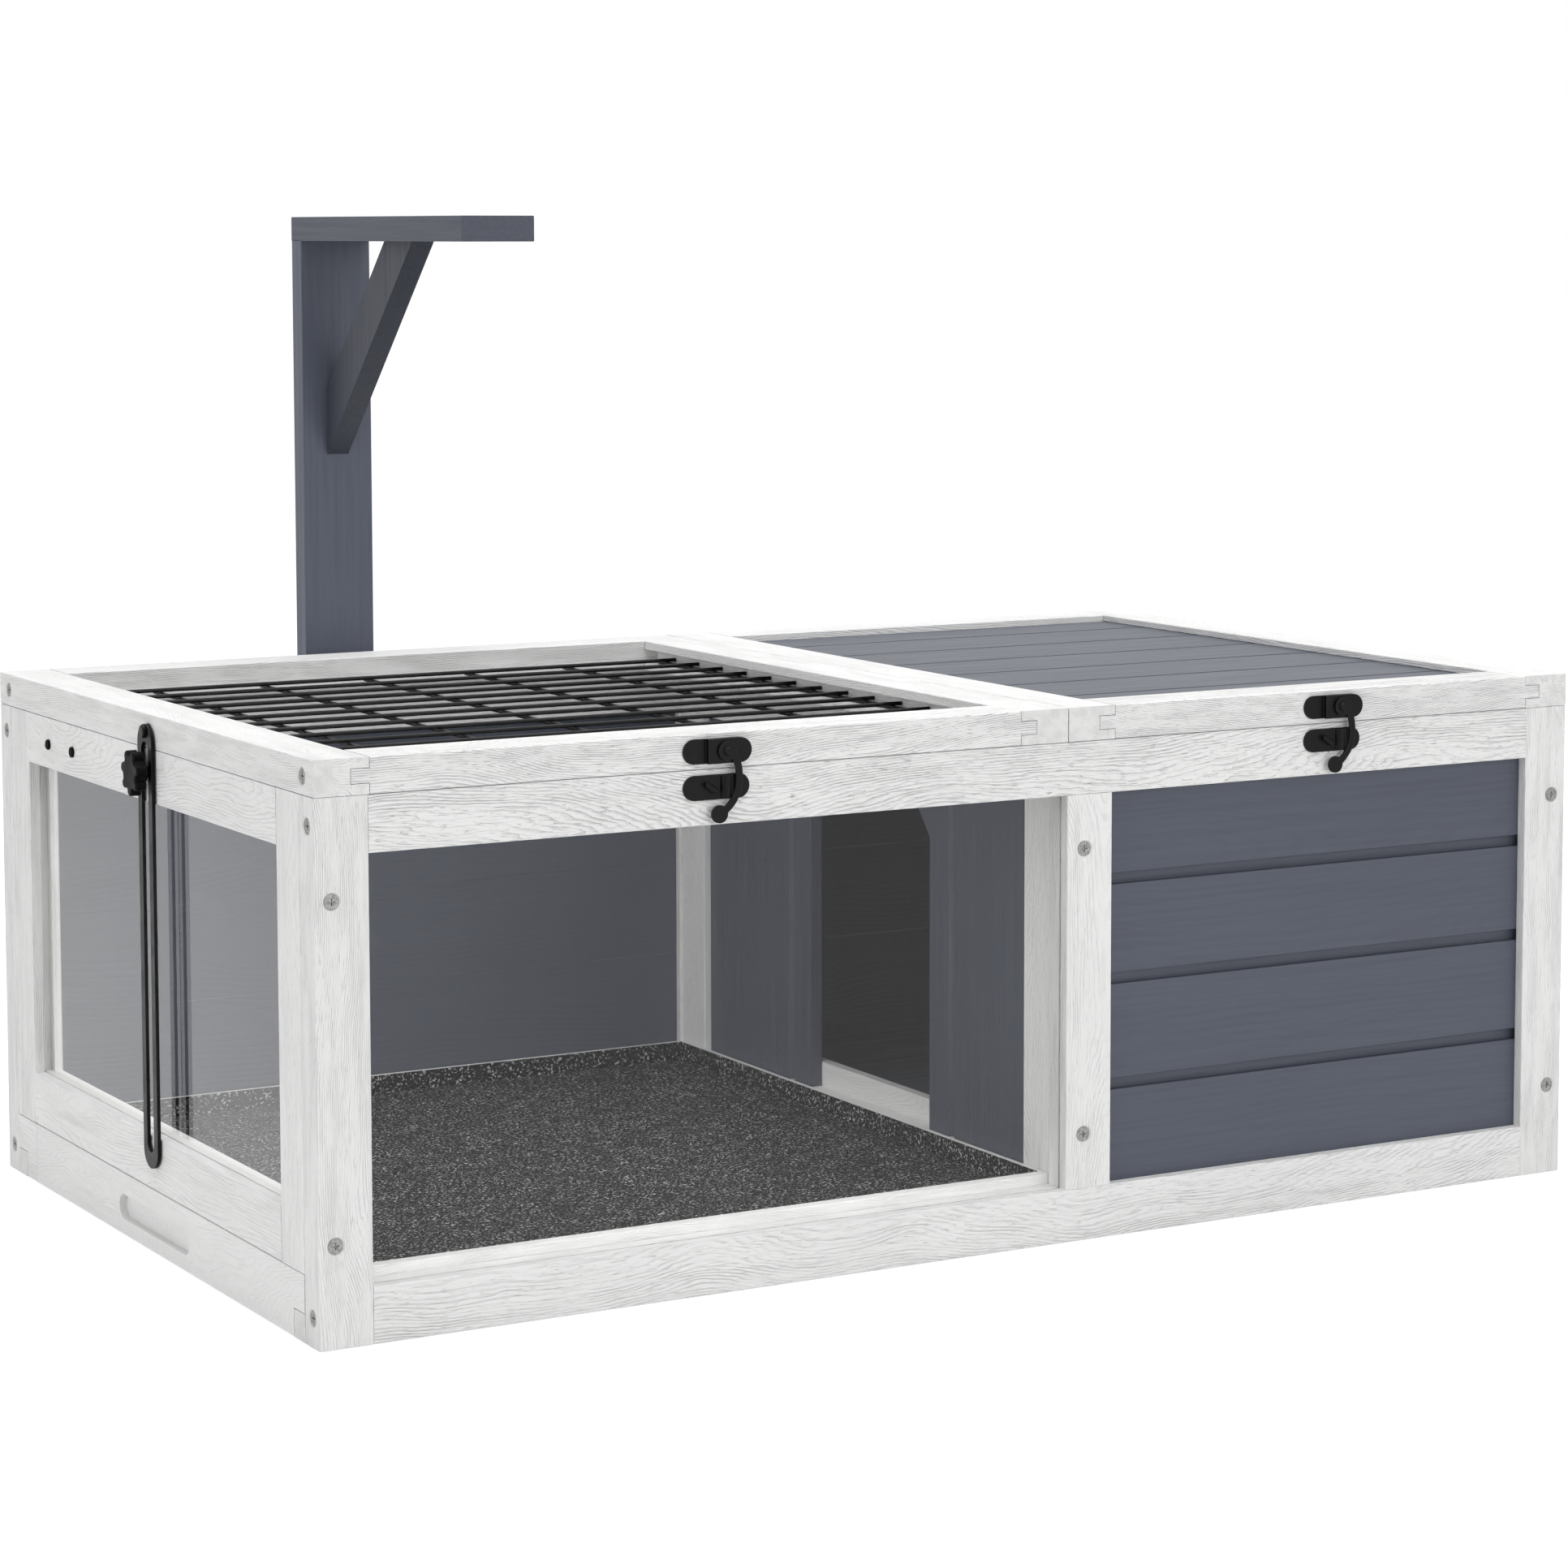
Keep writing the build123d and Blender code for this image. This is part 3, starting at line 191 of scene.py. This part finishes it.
def ring_field(tree, board, shift, spacing, seed, knots):
    """How many growth rings lie between a point and the heart of its tree, bent round knots."""
    length, own, depth = board
    slow = tree.noise(tree.vector(tree.math("MULTIPLY", length, 2.6), shift, 0.0), 1.0, 2.0, 0.4)
    drift = tree.noise(tree.vector(tree.math("MULTIPLY", length, 3.4), 3.0, shift), 1.0, 2.0, 0.4)
    wave = tree.streaks(board, 0.16, 70.0, 2.0, 0.5)
    ripple = tree.streaks(board, 0.18, 420.0, 2.0, 0.5)
    turned = tree.math("MULTIPLY", own, 1.0 if seed % 2 else -1.0)
    side = tree.math("MULTIPLY_ADD", slow, -HEART_SWAY, tree.math("ADD", turned, HEART_SIDE))
    wrapped = tree.math("PINGPONG", tree.math("ADD", depth, SLAB_STEP * seed), SLAB_FOLD)
    lowered = tree.math("ADD", wrapped, tree.math("MULTIPLY_ADD", drift, HEART_DRIFT, HEART_DEPTH))
    squares = tree.math("ADD", tree.math("POWER", side, 2.0), tree.math("POWER", lowered, 2.0))
    radius = tree.math("SQRT", squares)
    radius = tree.math("MULTIPLY_ADD", wave, WAVE_SIZE, radius)
    radius = tree.math("MULTIPLY_ADD", ripple, RIPPLE_SIZE, radius)
    cells = tree.nodes.new("ShaderNodeTexVoronoi")
    cells.feature = "SMOOTH_F1"
    cells.inputs["Scale"].default_value = 6.0
    cells.inputs["Smoothness"].default_value = 0.2
    place = tree.vector(tree.math("MULTIPLY", length, 0.62), tree.math("MULTIPLY", own, 2.4), shift)
    tree.links.new(place, cells.inputs["Vector"])
    near = tree.ramp(cells.outputs["Distance"], 0.0, 0.26, 1.0, 0.0)
    radius = tree.math("MULTIPLY_ADD", near, knots, radius)
    return tree.math("DIVIDE", radius, spacing)


def white_wood(name, along, across, cell, start, seed, strength):
    """White paint over planed fir whose grain shows as fine raised lines, their grooves and pores
    darkened with painted shade and some pooled paint.
    """
    tree = Tree(name)
    board, shift = board_coordinates(tree, along, across, cell, start, seed)
    rings = ring_field(tree, board, shift, WHITE_RINGS, seed, WHITE_KNOTS)
    phase = tree.math("FRACT", rings)
    fine = tree.math("MULTIPLY", tree.ramp(phase, 0.52, 0.86), tree.ramp(phase, 0.90, 1.0, 1.0, 0.0))
    patch = tree.streaks(board, 0.14, 150.0, 3.0, 0.6)
    groove = tree.math("MULTIPLY", fine, tree.ramp(patch, 0.36, 0.66, 0.25, 1.0))
    fibre = tree.streaks(board, 0.06, 1900.0, 3.0, 0.6)
    pores = tree.ramp(fibre, 0.60, 0.72)
    brush = tree.streaks(board, 0.03, 520.0, 2.0, 0.55)
    height = tree.math("MULTIPLY", groove, -1.0)
    height = tree.math("MULTIPLY_ADD", pores, -0.45, height)
    height = tree.math("MULTIPLY_ADD", brush, 0.45, height)
    # Painted shade with some pooled paint: the grain's grooves and pores are darkened towards the line
    # colour
    shade = tree.math("MULTIPLY_ADD", pores, 0.34, tree.math("MULTIPLY", groove, 0.46))
    shade = tree.math("MULTIPLY", shade, strength, clamp=True)
    cloud = tree.noise(tree.vector(*board), 9.0, 2.0, 0.5)
    base = tree.mix(tree.ramp(cloud, 0.3, 0.7), WHITE, WHITE_CLOUD)
    shader = tree.nodes.new("ShaderNodeBsdfPrincipled")
    tree.links.new(tree.mix(shade, base, WHITE_LINE_POOL_AND_SHADE), shader.inputs["Base Color"])
    tree.links.new(tree.ramp(brush, 0.3, 0.7, 0.48, 0.62), shader.inputs["Roughness"])
    shader.inputs["Specular IOR Level"].default_value = 0.3
    tree.links.new(tree.bump(height, 1.0, WHITE_RELIEF * strength), shader.inputs["Normal"])
    return tree.finish(shader.outputs[0])


def grey_wood(name, along, across, cell, start, seed, roughness, light_and_tone=1.0):
    """Grey paint over planed boards: faint streaks, brush marks and a light grain."""
    tree = Tree(name)
    board, shift = board_coordinates(tree, along, across, cell, start, seed)
    rings = ring_field(tree, board, shift, GREY_RINGS, seed, GREY_KNOTS)
    phase = tree.math("FRACT", rings)
    groove = tree.math("MULTIPLY", tree.ramp(phase, 0.45, 0.85), tree.ramp(phase, 0.90, 1.0, 1.0, 0.0))
    streak = tree.streaks(board, 0.03, 300.0, 3.0, 0.55)
    fibre = tree.streaks(board, 0.05, 1500.0, 2.0, 0.55)
    cloud = tree.streaks(board, 0.4, 12.0, 2.0, 0.5)
    dark = tree.math("MULTIPLY", groove, 0.14)
    dark = tree.math("MULTIPLY_ADD", tree.ramp(streak, 0.35, 0.75), 0.30, dark)
    dark = tree.math("MULTIPLY_ADD", tree.ramp(cloud, 0.3, 0.7), 0.12, dark, clamp=True)
    height = tree.math("MULTIPLY_ADD", fibre, 0.35, tree.math("MULTIPLY", groove, -0.3))
    height = tree.math("MULTIPLY_ADD", streak, 0.4, height)
    shader = tree.nodes.new("ShaderNodeBsdfPrincipled")
    # The colours are scaled by a factor, which on the lamp post, arm and brace is painted light and shade
    pale, deep = (tuple(light_and_tone * c for c in colour) for colour in (GREY, GREY_DARK))
    tree.links.new(tree.mix(dark, pale, deep), shader.inputs["Base Color"])
    tree.links.new(tree.ramp(streak, 0.3, 0.7, roughness, roughness + 0.10), shader.inputs["Roughness"])
    shader.inputs["Specular IOR Level"].default_value = 0.3
    tree.links.new(tree.bump(height, 0.5, GREY_RELIEF), shader.inputs["Normal"])
    return tree.finish(shader.outputs[0])


def black_metal(name, roughness_low, roughness_high, grain, strength, gloss):
    """Black powder coat, a little worn to grey where it is handled, with a painted highlight lightening
    its edges.
    """
    tree = Tree(name)
    coordinates = tree.nodes.new("ShaderNodeTexCoord").outputs["Object"]
    fine = tree.noise(coordinates, grain, 2.0, 0.6)
    wide = tree.noise(coordinates, 60.0, 3.0, 0.55)
    shader = tree.nodes.new("ShaderNodeBsdfPrincipled")
    soft_edges = tree.nodes.new("ShaderNodeBevel")
    soft_edges.inputs["Radius"].default_value = EDGE_ROUND
    flat = tree.nodes.new("ShaderNodeNewGeometry")
    alike = tree.nodes.new("ShaderNodeVectorMath")
    alike.operation = "DOT_PRODUCT"
    tree.links.new(soft_edges.outputs["Normal"], alike.inputs[0])
    tree.links.new(flat.outputs["Normal"], alike.inputs[1])
    # Painted highlight: edges, found where the rounded normal turns away from the flat one, are lightened
    # towards grey
    edge_highlight = tree.ramp(alike.outputs["Value"], 0.80, 0.995, 1.0, 0.0)
    wear_and_highlight = tree.math("MULTIPLY_ADD", tree.ramp(wide, 0.55, 0.75), 0.12, tree.math("MULTIPLY", edge_highlight, 0.75))
    tree.links.new(tree.mix(wear_and_highlight, BLACK, BLACK_WORN_AND_HIGHLIGHT), shader.inputs["Base Color"])
    tree.links.new(tree.ramp(wide, 0.3, 0.7, roughness_low, roughness_high), shader.inputs["Roughness"])
    shader.inputs["Specular IOR Level"].default_value = gloss
    normal = tree.bump(fine, strength, COAT_RELIEF, soft_edges.outputs["Normal"])
    tree.links.new(normal, shader.inputs["Normal"])
    return tree.finish(shader.outputs[0])


def zinc_metal():
    """Zinc-plated screw heads, dulled and a little painted over."""
    tree = Tree("zinc")
    coordinates = tree.nodes.new("ShaderNodeTexCoord").outputs["Object"]
    fine = tree.noise(coordinates, 2600.0, 2.0, 0.6)
    wide = tree.noise(coordinates, 420.0, 2.0, 0.5)
    shader = tree.nodes.new("ShaderNodeBsdfPrincipled")
    tree.links.new(tree.mix(tree.ramp(wide, 0.35, 0.7), ZINC, ZINC_DULL), shader.inputs["Base Color"])
    shader.inputs["Metallic"].default_value = 0.75
    tree.links.new(tree.ramp(fine, 0.3, 0.7, 0.32, 0.50), shader.inputs["Roughness"])
    tree.links.new(tree.bump(fine, 0.4, ZINC_RELIEF), shader.inputs["Normal"])
    return tree.finish(shader.outputs[0])


def clear_sheet(name, ior):
    """A faintly grey clear sheet that lets the lamps through."""
    tree = Tree(name)
    coordinates = tree.nodes.new("ShaderNodeTexCoord").outputs["Object"]
    waves = tree.noise(coordinates, 5.0, 1.0, 0.4)
    shader = tree.nodes.new("ShaderNodeBsdfPrincipled")
    shader.inputs["Base Color"].default_value = (*CLEAR_TINT, 1.0)
    shader.inputs["Transmission Weight"].default_value = 1.0
    shader.inputs["IOR"].default_value = ior
    tree.links.new(tree.ramp(waves, 0.3, 0.7, 0.0, 0.02), shader.inputs["Roughness"])
    through = tree.nodes.new("ShaderNodeBsdfTransparent")
    through.inputs["Color"].default_value = (*CLEAR_SHADOW, 1.0)
    path = tree.nodes.new("ShaderNodeLightPath")
    mixer = tree.nodes.new("ShaderNodeMixShader")
    tree.links.new(path.outputs["Is Shadow Ray"], mixer.inputs[0])
    tree.links.new(shader.outputs[0], mixer.inputs[1])
    tree.links.new(through.outputs[0], mixer.inputs[2])
    return tree.finish(mixer.outputs[0])


def speckled_liner():
    """Dark pebbled sheet with pale speckles."""
    tree = Tree("speckled_liner")
    coordinates = tree.nodes.new("ShaderNodeTexCoord").outputs["Object"]
    worms = tree.noise(coordinates, 470.0, 2.0, 0.55, 0.5)
    fields = tree.noise(coordinates, 60.0, 3.0, 0.6)
    speck = tree.math("MULTIPLY", tree.ramp(worms, 0.575, 0.62), tree.ramp(fields, 0.35, 0.65, 0.35, 1.0))
    lump = tree.noise(coordinates, 380.0, 3.0, 0.6)
    shader = tree.nodes.new("ShaderNodeBsdfPrincipled")
    tree.links.new(tree.mix(speck, LINER_DARK, LINER_SPECK), shader.inputs["Base Color"])
    tree.links.new(tree.ramp(lump, 0.3, 0.7, 0.45, 0.75), shader.inputs["Roughness"])
    shader.inputs["Specular IOR Level"].default_value = 0.12
    height = tree.math("MULTIPLY_ADD", lump, 0.6, speck)
    tree.links.new(tree.bump(height, 0.9, LINER_RELIEF), shader.inputs["Normal"])
    return tree.finish(shader.outputs[0])


# White wooden nodes: grain axis, the axis across the boards, and the boards' step and start there
WHITE_NODES = {
    "front_stiles": ("z", "x", 0.080, -0.530),
    "front_stile_centre": ("z", "x", 0.080, -0.530),
    "front_rail_top": ("x", "z", 0.300, 0.180),
    "front_rail_bottom": ("x", "z", 0.300, -0.130),
    "back_stiles": ("z", "x", 0.080, -0.530),
    "back_rails": ("x", "z", 0.080, -0.020),
    "left_stiles": ("z", "y", 0.100, -0.325),
    "left_rail_top": ("y", "z", 0.300, 0.180),
    "left_rail_bottom": ("y", "z", 0.300, -0.090),
    "right_stiles": ("z", "y", 0.100, -0.325),
    "right_rails": ("y", "z", 0.080, -0.020),
    "partition_posts": ("z", "y", 0.100, -0.325),
    "partition_rail_top": ("y", "z", 0.300, 0.180),
    "partition_sill": ("y", "z", 0.300, -0.110),
    "left_lid_side_rails": ("y", "x", 0.100, -0.530),
    "left_lid_front_rail": ("x", "y", 0.300, -0.450),
    "left_lid_back_rail": ("x", "y", 0.300, 0.110),
    "right_lid_side_rails": ("y", "x", 0.100, 0.030),
    "right_lid_front_rail": ("x", "y", 0.300, -0.450),
    "right_lid_back_rail": ("x", "y", 0.300, 0.110),
    "tray_fascia": ("y", "z", 0.300, -0.120),
    "tray_end_block": ("y", "z", 0.300, -0.120),
    "tray_side_boards": ("x", "y", 0.100, -0.325),
    "tray_end_board": ("y", "z", 0.300, -0.120),
    "floor_battens": ("x", "y", 0.100, -0.325),
}

# White nodes whose grain stands out more or less than on the others
PLAIN_GRAIN = 0.65
GRAIN = {
    "front_rail_top": 1.35,
    "left_lid_front_rail": 1.15,
    "right_lid_front_rail": 1.0,
    "front_rail_bottom": 0.95,
    "left_rail_top": 0.85,
    "tray_fascia": 0.45,
}

# The same for the grey nodes, and the roughness of their paint
SATIN = 0.44
GLOSSY = 0.40
GREY_NODES = {
    "front_boards": ("x", "z", 0.0716, 0.035, SATIN),
    "back_boards": ("x", "z", 0.0716, 0.035, SATIN),
    "right_boards": ("y", "z", 0.0716, 0.035, SATIN),
    "partition_boards": ("z", "y", 0.238, -0.38745, SATIN),
    "chamber_floor": ("x", "y", 0.110, -0.30, SATIN),
    "tray_bottom": ("x", "y", 0.110, -0.30, SATIN),
    "right_lid_boards": ("x", "y", 0.0803, -0.297, GLOSSY),
    "lamp_post": ("z", "x", 0.300, -0.366, SATIN),
    "lamp_arm": ("y", "x", 0.300, -0.366, SATIN),
    "lamp_brace": ("z", "x", 0.300, -0.366, SATIN),
    "lamp_cleats": ("x", "z", 0.300, 0.0, SATIN),
}

# Grey nodes whose coat is deeper or paler than the boards': on the lamp post, arm and brace this is
# painted light and shade (the post lit paler, the arm and brace shaded deeper), and the right lid's
# boards are made deeper
PAINTED_LIGHT_AND_TONE = {"lamp_post": 1.25, "lamp_arm": 0.88, "lamp_brace": 0.62, "right_lid_boards": 0.82}

COATED = black_metal("black_coat", 0.32, 0.46, 2200.0, 0.35, 0.13)
MOULDED = black_metal("black_moulding", 0.45, 0.60, 900.0, 0.5, 0.07)
RUBBER = black_metal("black_rubber", 0.60, 0.75, 1400.0, 0.5, 0.07)
WIRE = black_metal("black_wire", 0.34, 0.46, 1600.0, 0.5, 0.22)
ZINC_METAL = zinc_metal()
LINER = speckled_liner()


def dress(node, material):
    """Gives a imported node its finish."""
    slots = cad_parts[node].data.materials
    slots.clear()
    slots.append(material)


for seed, (node, (along, across, cell, start)) in enumerate(WHITE_NODES.items(), 1):
    strength = GRAIN.get(node, PLAIN_GRAIN)
    dress(node, white_wood("white_" + node, along, across, cell, start, seed, strength))
for seed, (node, layout) in enumerate(GREY_NODES.items(), 1):
    along, across, cell, start, roughness = layout
    light_and_tone = PAINTED_LIGHT_AND_TONE.get(node, 1.0)
    dress(node, grey_wood("grey_" + node, along, across, cell, start, seed, roughness, light_and_tone))
dress("front_pane", clear_sheet("clear_front", FRONT_INDEX))
dress("left_pane", clear_sheet("clear_left", LEFT_INDEX))
for node in ("left_lid_screws", "right_lid_screws", "frame_screws"):
    dress(node, ZINC_METAL)
for node in (
    "left_lid_hinge_leaves", "right_lid_hinge_leaves", "box_hinge_leaves", "hinge_pins",
    "left_latch_plate", "right_latch_plate", "left_latch_hook", "right_latch_hook", "latch_keepers",
    "left_stay", "right_stay", "left_stay_pivot", "right_stay_pivot", "stay_studs",
):
    dress(node, COATED)
for node in ("left_knob", "right_knob"):
    dress(node, MOULDED)
dress("vent_plugs", RUBBER)
dress("wire_mesh", WIRE)
dress("tray_liner", LINER)


# Stage: a pale floor that keeps the shadow and shows white to the camera, and a white world
def floor_material():
    """Pale matt floor that glows to the camera, so that it shows as white as the room."""
    tree = Tree("floor")
    coordinates = tree.nodes.new("ShaderNodeTexCoord").outputs["Object"]
    shader = tree.nodes.new("ShaderNodeBsdfPrincipled")
    cloud = tree.noise(coordinates, 1.5, 2.0, 0.5)
    tree.links.new(tree.mix(cloud, FLOOR_TONE, FLOOR_PALE), shader.inputs["Base Color"])
    shader.inputs["Roughness"].default_value = 0.9
    glow = tree.nodes.new("ShaderNodeEmission")
    glow.inputs["Color"].default_value = (*BACKDROP, 1.0)
    glow_strength = tree.math("MULTIPLY", seen_rays(tree.nodes, tree.links), FLOOR_GLOW)
    tree.links.new(glow_strength, glow.inputs["Strength"])
    add = tree.nodes.new("ShaderNodeAddShader")
    tree.links.new(shader.outputs[0], add.inputs[0])
    tree.links.new(glow.outputs[0], add.inputs[1])
    return tree.finish(add.outputs[0])


floor_mesh = bpy.data.meshes.new("floor")
shape = bmesh.new()
bmesh.ops.create_grid(shape, x_segments=1, y_segments=1, size=FLOOR_HALF)
shape.to_mesh(floor_mesh)
shape.free()
floor = bpy.data.objects.new("floor", floor_mesh)
floor.location.z = -FLOOR_DROP
bpy.context.scene.collection.objects.link(floor)
floor.data.materials.append(floor_material())

world = bpy.data.worlds.new("white_room")
bpy.context.scene.world = world
world.use_nodes = True
world_nodes = world.node_tree.nodes
world_links = world.node_tree.links
world_nodes.clear()
lit = world_nodes.new("ShaderNodeBackground")
lit.inputs["Color"].default_value = (*BACKDROP, 1.0)
lit.inputs["Strength"].default_value = ROOM_LIGHT
shown = world_nodes.new("ShaderNodeBackground")
shown.inputs["Color"].default_value = (*BACKDROP, 1.0)
shown.inputs["Strength"].default_value = ROOM_SHOWN
chooser = world_nodes.new("ShaderNodeMixShader")
world_output = world_nodes.new("ShaderNodeOutputWorld")
world_links.new(seen_rays(world_nodes, world_links), chooser.inputs[0])
world_links.new(lit.outputs[0], chooser.inputs[1])
world_links.new(shown.outputs[0], chooser.inputs[2])
world_links.new(chooser.outputs[0], world_output.inputs["Surface"])


def soft_lamp(name, place, size, power, aim):
    """A square area lamp that looks at a point on the middle of the house."""
    data = bpy.data.lights.new(name, "AREA")
    data.shape = "SQUARE"
    data.size = size
    data.energy = power
    lamp = bpy.data.objects.new(name, data)
    lamp.location = place
    lamp.rotation_euler = (Vector((0.0, 0.0, aim)) - Vector(place)).to_track_quat("-Z", "Y").to_euler()
    bpy.context.scene.collection.objects.link(lamp)


soft_lamp("overhead", *OVERHEAD, OVERHEAD_AIM)
soft_lamp("front_fill", *FRONT_FILL, FILL_AIM)
soft_lamp("left_fill", *LEFT_FILL, FILL_AIM)

# Camera at the photograph's viewing angle, its lens and centre in the photograph's pixels
CAMERA_PLACE = (-1.47723, -2.66682, 0.70064)
CAMERA_YAW = math.radians(30.152)
CAMERA_PITCH = math.radians(-5.343)
CAMERA_ROLL = math.radians(-0.021)
SENSOR = 36.0
FOCAL_PIXELS = 5048.445
IMAGE_PIXELS = 1932.0
CENTRE_X = 1050.534
CENTRE_Y = 759.275
CAMERA_REACH = 100.0
camera_data = bpy.data.cameras.new("camera")
camera_data.sensor_fit = "HORIZONTAL"
camera_data.sensor_width = SENSOR
camera_data.lens = FOCAL_PIXELS / IMAGE_PIXELS * SENSOR
camera_data.shift_x = (IMAGE_PIXELS / 2 - CENTRE_X) / IMAGE_PIXELS
camera_data.shift_y = (CENTRE_Y - IMAGE_PIXELS / 2) / IMAGE_PIXELS
camera_data.clip_end = CAMERA_REACH
camera = bpy.data.objects.new("camera", camera_data)
turn = Matrix.Rotation(-CAMERA_YAW, 4, "Z") @ Matrix.Rotation(math.pi / 2 + CAMERA_PITCH, 4, "X")
camera.matrix_world = Matrix.Translation(CAMERA_PLACE) @ turn @ Matrix.Rotation(CAMERA_ROLL, 4, "Z")
bpy.context.scene.collection.objects.link(camera)
bpy.context.scene.camera = camera
bpy.context.scene.view_settings.view_transform = "Standard"
